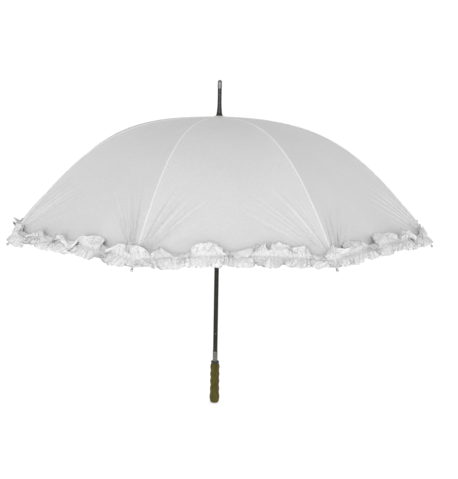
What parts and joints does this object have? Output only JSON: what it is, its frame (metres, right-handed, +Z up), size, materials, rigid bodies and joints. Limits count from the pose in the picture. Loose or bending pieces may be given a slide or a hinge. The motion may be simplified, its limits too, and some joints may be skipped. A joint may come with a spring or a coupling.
{
  "type": "parasol",
  "caption": "Open stick parasol with a domed cloth canopy, gathered frill round the hem, metal shaft, spike ferrule and turned wooden grip; folds by its runner.",
  "frame": {"origin": "centre of the handle's flat bottom end", "axes": "+Z up the shaft to the ferrule; the middle of one canopy gore faces -Y"},
  "size_m": [1.18, 1.18, 0.98],
  "materials": {
    "canopy_cloth": "plain-woven white cloth",
    "frill_cloth": "gathered white cloth",
    "rib_steel": "thin grey enamel",
    "tip_metal": "dull nickel",
    "shaft_metal": "dark bronze-grey enamel, satin",
    "collar_metal": "worn silver",
    "bright_steel": "zinc plated",
    "handle_wood": "lacquered, olive-brown",
    "rosette_cream": "cream cloth over a disc",
    "ferrule_metal": "gunmetal with a lighter cap",
    "black_plastic": "moulded"
  },
  "bodies": {
    "stick": {"shaft": "shaft_metal", "shaft_pins": "bright_steel", "handle": "handle_wood", "handle_collar": "collar_metal", "rosette": "rosette_cream", "ferrule": "ferrule_metal", "crown": "black_plastic", "crown_wire": "bright_steel"},
    "runner": {"runner": "black_plastic", "runner_wire": "bright_steel"},
    "upper_catch": {"upper_catch": "bright_steel"},
    "lower_catch": {"lower_catch": "bright_steel"},
    "rib_inner_1": {"rib_inner_1": "rib_steel", "canopy_panel_1": "canopy_cloth"},
    "rib_outer_1": {"rib_outer_1": "rib_steel", "rib_tip_1": "tip_metal", "frill_1": "frill_cloth"},
    "stretcher_1": {"stretcher_1": "rib_steel"},
    "rib_inner_2": {"rib_inner_2": "rib_steel", "canopy_panel_2": "canopy_cloth"},
    "rib_outer_2": {"rib_outer_2": "rib_steel", "rib_tip_2": "tip_metal", "frill_2": "frill_cloth"},
    "stretcher_2": {"stretcher_2": "rib_steel"},
    "rib_inner_3": {"rib_inner_3": "rib_steel", "canopy_panel_3": "canopy_cloth"},
    "rib_outer_3": {"rib_outer_3": "rib_steel", "rib_tip_3": "tip_metal", "frill_3": "frill_cloth"},
    "stretcher_3": {"stretcher_3": "rib_steel"},
    "rib_inner_4": {"rib_inner_4": "rib_steel", "canopy_panel_4": "canopy_cloth"},
    "rib_outer_4": {"rib_outer_4": "rib_steel", "rib_tip_4": "tip_metal", "frill_4": "frill_cloth"},
    "stretcher_4": {"stretcher_4": "rib_steel"},
    "rib_inner_5": {"rib_inner_5": "rib_steel", "canopy_panel_5": "canopy_cloth"},
    "rib_outer_5": {"rib_outer_5": "rib_steel", "rib_tip_5": "tip_metal", "frill_5": "frill_cloth"},
    "stretcher_5": {"stretcher_5": "rib_steel"},
    "rib_inner_6": {"rib_inner_6": "rib_steel", "canopy_panel_6": "canopy_cloth"},
    "rib_outer_6": {"rib_outer_6": "rib_steel", "rib_tip_6": "tip_metal", "frill_6": "frill_cloth"},
    "stretcher_6": {"stretcher_6": "rib_steel"},
    "rib_inner_7": {"rib_inner_7": "rib_steel", "canopy_panel_7": "canopy_cloth"},
    "rib_outer_7": {"rib_outer_7": "rib_steel", "rib_tip_7": "tip_metal", "frill_7": "frill_cloth"},
    "stretcher_7": {"stretcher_7": "rib_steel"},
    "rib_inner_8": {"rib_inner_8": "rib_steel", "canopy_panel_8": "canopy_cloth"},
    "rib_outer_8": {"rib_outer_8": "rib_steel", "rib_tip_8": "tip_metal", "frill_8": "frill_cloth"},
    "stretcher_8": {"stretcher_8": "rib_steel"}
  },
  "joints": [
    {"name": "runner_slide", "type": "slide", "parent": "stick", "child": "runner", "axis": [0, 0, -1], "range_m": [0, 0.42976], "deforming": ["upper_catch", "lower_catch", "canopy_panel_1", "frill_1", "canopy_panel_2", "frill_2", "canopy_panel_3", "frill_3", "canopy_panel_4", "frill_4", "canopy_panel_5", "frill_5", "canopy_panel_6", "frill_6", "canopy_panel_7", "frill_7", "canopy_panel_8", "frill_8"]},
    {"name": "upper_catch_press", "type": "hinge", "parent": "stick", "child": "upper_catch", "pos_m": [0, -0.007, 0.5658], "axis": [1, 0, 0], "range_deg": [0, 9], "stiffness_Nm_per_rad": 0.6, "deforming": ["upper_catch"]},
    {"name": "lower_catch_press", "type": "hinge", "parent": "stick", "child": "lower_catch", "pos_m": [0, -0.007, 0.21824], "axis": [-1, 0, 0], "range_deg": [0, 9], "stiffness_Nm_per_rad": 0.6, "deforming": ["lower_catch"]},
    {"name": "rib_1_at_crown", "type": "hinge", "parent": "stick", "child": "rib_inner_1", "pos_m": [0.01201, 0.00498, 0.865], "axis": [-0.3827, 0.9239, 0], "range_deg": [0, 76.01]},
    {"name": "rib_1_flex", "type": "hinge", "parent": "rib_inner_1", "child": "rib_outer_1", "pos_m": [0.30375, 0.12582, 0.81023], "axis": [0.3827, -0.9239, 0], "range_deg": [0, 30.51]},
    {"name": "stretcher_1_at_rib", "type": "hinge", "parent": "rib_inner_1", "child": "stretcher_1", "pos_m": [0.29095, 0.12052, 0.80925], "axis": [0.3827, -0.9239, 0], "range_deg": [0, 135.27]},
    {"name": "rib_2_at_crown", "type": "hinge", "parent": "stick", "child": "rib_inner_2", "pos_m": [0.00498, 0.01201, 0.865], "axis": [-0.9239, 0.3827, 0], "range_deg": [0, 76.01]},
    {"name": "rib_2_flex", "type": "hinge", "parent": "rib_inner_2", "child": "rib_outer_2", "pos_m": [0.12582, 0.30375, 0.81023], "axis": [0.9239, -0.3827, 0], "range_deg": [0, 30.51]},
    {"name": "stretcher_2_at_rib", "type": "hinge", "parent": "rib_inner_2", "child": "stretcher_2", "pos_m": [0.12052, 0.29095, 0.80925], "axis": [0.9239, -0.3827, 0], "range_deg": [0, 135.27]},
    {"name": "rib_3_at_crown", "type": "hinge", "parent": "stick", "child": "rib_inner_3", "pos_m": [-0.00498, 0.01201, 0.865], "axis": [-0.9239, -0.3827, 0], "range_deg": [0, 76.01]},
    {"name": "rib_3_flex", "type": "hinge", "parent": "rib_inner_3", "child": "rib_outer_3", "pos_m": [-0.12582, 0.30375, 0.81023], "axis": [0.9239, 0.3827, 0], "range_deg": [0, 30.51]},
    {"name": "stretcher_3_at_rib", "type": "hinge", "parent": "rib_inner_3", "child": "stretcher_3", "pos_m": [-0.12052, 0.29095, 0.80925], "axis": [0.9239, 0.3827, 0], "range_deg": [0, 135.27]},
    {"name": "rib_4_at_crown", "type": "hinge", "parent": "stick", "child": "rib_inner_4", "pos_m": [-0.01201, 0.00498, 0.865], "axis": [-0.3827, -0.9239, 0], "range_deg": [0, 76.01]},
    {"name": "rib_4_flex", "type": "hinge", "parent": "rib_inner_4", "child": "rib_outer_4", "pos_m": [-0.30375, 0.12582, 0.81023], "axis": [0.3827, 0.9239, 0], "range_deg": [0, 30.51]},
    {"name": "stretcher_4_at_rib", "type": "hinge", "parent": "rib_inner_4", "child": "stretcher_4", "pos_m": [-0.29095, 0.12052, 0.80925], "axis": [0.3827, 0.9239, 0], "range_deg": [0, 135.27]},
    {"name": "rib_5_at_crown", "type": "hinge", "parent": "stick", "child": "rib_inner_5", "pos_m": [-0.01201, -0.00498, 0.865], "axis": [0.3827, -0.9239, 0], "range_deg": [0, 76.01]},
    {"name": "rib_5_flex", "type": "hinge", "parent": "rib_inner_5", "child": "rib_outer_5", "pos_m": [-0.30375, -0.12582, 0.81023], "axis": [-0.3827, 0.9239, 0], "range_deg": [0, 30.51]},
    {"name": "stretcher_5_at_rib", "type": "hinge", "parent": "rib_inner_5", "child": "stretcher_5", "pos_m": [-0.29095, -0.12052, 0.80925], "axis": [-0.3827, 0.9239, 0], "range_deg": [0, 135.27]},
    {"name": "rib_6_at_crown", "type": "hinge", "parent": "stick", "child": "rib_inner_6", "pos_m": [-0.00498, -0.01201, 0.865], "axis": [0.9239, -0.3827, 0], "range_deg": [0, 76.01]},
    {"name": "rib_6_flex", "type": "hinge", "parent": "rib_inner_6", "child": "rib_outer_6", "pos_m": [-0.12582, -0.30375, 0.81023], "axis": [-0.9239, 0.3827, 0], "range_deg": [0, 30.51]},
    {"name": "stretcher_6_at_rib", "type": "hinge", "parent": "rib_inner_6", "child": "stretcher_6", "pos_m": [-0.12052, -0.29095, 0.80925], "axis": [-0.9239, 0.3827, 0], "range_deg": [0, 135.27]},
    {"name": "rib_7_at_crown", "type": "hinge", "parent": "stick", "child": "rib_inner_7", "pos_m": [0.00498, -0.01201, 0.865], "axis": [0.9239, 0.3827, 0], "range_deg": [0, 76.01]},
    {"name": "rib_7_flex", "type": "hinge", "parent": "rib_inner_7", "child": "rib_outer_7", "pos_m": [0.12582, -0.30375, 0.81023], "axis": [-0.9239, -0.3827, 0], "range_deg": [0, 30.51]},
    {"name": "stretcher_7_at_rib", "type": "hinge", "parent": "rib_inner_7", "child": "stretcher_7", "pos_m": [0.12052, -0.29095, 0.80925], "axis": [-0.9239, -0.3827, 0], "range_deg": [0, 135.27]},
    {"name": "rib_8_at_crown", "type": "hinge", "parent": "stick", "child": "rib_inner_8", "pos_m": [0.01201, -0.00498, 0.865], "axis": [0.3827, 0.9239, 0], "range_deg": [0, 76.01]},
    {"name": "rib_8_flex", "type": "hinge", "parent": "rib_inner_8", "child": "rib_outer_8", "pos_m": [0.30375, -0.12582, 0.81023], "axis": [-0.3827, -0.9239, 0], "range_deg": [0, 30.51]},
    {"name": "stretcher_8_at_rib", "type": "hinge", "parent": "rib_inner_8", "child": "stretcher_8", "pos_m": [0.29095, -0.12052, 0.80925], "axis": [-0.3827, -0.9239, 0], "range_deg": [0, 135.27]}
  ],
  "couplings": [
    {"joint": "rib_1_at_crown", "follows": "runner_slide", "rad_per_m": 3.0865},
    {"joint": "rib_1_flex", "follows": "runner_slide", "rad_per_m": 1.2386},
    {"joint": "stretcher_1_at_rib", "follows": "runner_slide", "rad_per_m": 5.4928},
    {"joint": "rib_2_at_crown", "follows": "runner_slide", "rad_per_m": 3.0865},
    {"joint": "rib_2_flex", "follows": "runner_slide", "rad_per_m": 1.2386},
    {"joint": "stretcher_2_at_rib", "follows": "runner_slide", "rad_per_m": 5.4928},
    {"joint": "rib_3_at_crown", "follows": "runner_slide", "rad_per_m": 3.0865},
    {"joint": "rib_3_flex", "follows": "runner_slide", "rad_per_m": 1.2386},
    {"joint": "stretcher_3_at_rib", "follows": "runner_slide", "rad_per_m": 5.4928},
    {"joint": "rib_4_at_crown", "follows": "runner_slide", "rad_per_m": 3.0865},
    {"joint": "rib_4_flex", "follows": "runner_slide", "rad_per_m": 1.2386},
    {"joint": "stretcher_4_at_rib", "follows": "runner_slide", "rad_per_m": 5.4928},
    {"joint": "rib_5_at_crown", "follows": "runner_slide", "rad_per_m": 3.0865},
    {"joint": "rib_5_flex", "follows": "runner_slide", "rad_per_m": 1.2386},
    {"joint": "stretcher_5_at_rib", "follows": "runner_slide", "rad_per_m": 5.4928},
    {"joint": "rib_6_at_crown", "follows": "runner_slide", "rad_per_m": 3.0865},
    {"joint": "rib_6_flex", "follows": "runner_slide", "rad_per_m": 1.2386},
    {"joint": "stretcher_6_at_rib", "follows": "runner_slide", "rad_per_m": 5.4928},
    {"joint": "rib_7_at_crown", "follows": "runner_slide", "rad_per_m": 3.0865},
    {"joint": "rib_7_flex", "follows": "runner_slide", "rad_per_m": 1.2386},
    {"joint": "stretcher_7_at_rib", "follows": "runner_slide", "rad_per_m": 5.4928},
    {"joint": "rib_8_at_crown", "follows": "runner_slide", "rad_per_m": 3.0865},
    {"joint": "rib_8_flex", "follows": "runner_slide", "rad_per_m": 1.2386},
    {"joint": "stretcher_8_at_rib", "follows": "runner_slide", "rad_per_m": 5.4928}
  ]
}
